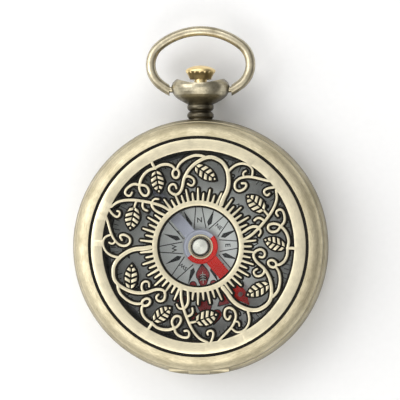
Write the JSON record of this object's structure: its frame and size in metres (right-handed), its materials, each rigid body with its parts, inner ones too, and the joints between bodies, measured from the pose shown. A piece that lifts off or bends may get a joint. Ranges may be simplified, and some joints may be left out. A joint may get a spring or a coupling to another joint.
{
  "type": "pocket compass",
  "caption": "Pocket compass in a round hinged watch-style case with a pierced scroll and leaf lid, a push crown and an oval bow.",
  "frame": {"origin": "centre of the case's flat back, where it rests on a table", "axes": "+Z out of the dial and the closed lid, +Y from the middle of the case towards the pendant and bow"},
  "size_m": [0.047, 0.0641, 0.0124],
  "materials": {
    "case_brass": "satin, aged",
    "lid_brass": "brushed, aged",
    "openwork_brass": "polished relief over blackened walls",
    "pendant_brass": "satin, aged",
    "inner_brass": "satin",
    "polished_brass": "polished",
    "crown_gilt": "polished gilt",
    "dial_silvered": "matte silvered, printed",
    "black_lacquer": "satin black",
    "steel": "turned",
    "spring_steel": "blued",
    "needle_enamel": "gloss, one half red and one half silver blue",
    "needle_brass": "turned and polished",
    "jewel": "polished",
    "crystal_glass": "polished"
  },
  "bodies": {
    "case": {"case_middle": "case_brass", "back_cover": "case_brass", "capsule_cup": "inner_brass", "dial_card": "dial_silvered", "spacer_ring": "black_lacquer", "pivot_pin": "steel", "crystal": "crystal_glass", "crystal_bezel": "polished_brass", "pendant": "pendant_brass", "pendant_sleeve": "polished_brass", "hinge_pin": "steel", "case_clamps": "steel", "clamp_screws": "steel", "spring_screws": "steel"},
    "lid": {"lid_bezel": "lid_brass", "openwork_plate": "openwork_brass", "groove_inlay": "black_lacquer"},
    "crown": {"crown_cap": "crown_gilt", "crown_stem": "crown_gilt"},
    "bow": {"bow": "pendant_brass"},
    "needle": {"needle_blade": "needle_enamel", "needle_hub": "needle_brass", "needle_jewel": "jewel"},
    "lock_spring": {"lock_spring": "spring_steel"},
    "lift_spring": {"lift_spring": "spring_steel"}
  },
  "joints": [
    {"name": "lid_hinge", "type": "hinge", "parent": "case", "child": "lid", "pos_m": [0, -0.0223, 0.009], "axis": [1, 0, 0], "range_deg": [0, 100]},
    {"name": "crown_push", "type": "slide", "parent": "case", "child": "crown", "axis": [0, -1, 0], "range_m": [0, 0.00055], "stiffness_N_per_m": 1500},
    {"name": "bow_swing", "type": "hinge", "parent": "case", "child": "bow", "pos_m": [0, 0.0289, 0.0061], "axis": [1, 0, 0], "range_deg": [-110, 110]},
    {"name": "needle_spin", "type": "hinge", "parent": "case", "child": "needle", "pos_m": [0, 0, 0.0058], "axis": [0, 0, 1], "continuous": true},
    {"name": "lock_spring_flex", "type": "hinge", "parent": "case", "child": "lock_spring", "pos_m": [-0.01671, 0.0117, 0.0061], "axis": [0, 0, -1], "range_deg": [0, 2]},
    {"name": "lift_spring_flex", "type": "hinge", "parent": "case", "child": "lift_spring", "pos_m": [0.0194, -0.0063, 0.0061], "axis": [0, 0, 1], "range_deg": [0, 1.1]}
  ],
  "couplings": [
    {"joint": "lock_spring_flex", "follows": "crown_push", "rad_per_m": 61.1},
    {"joint": "lift_spring_flex", "follows": "lid_hinge", "ratio": 0.0103}
  ]
}
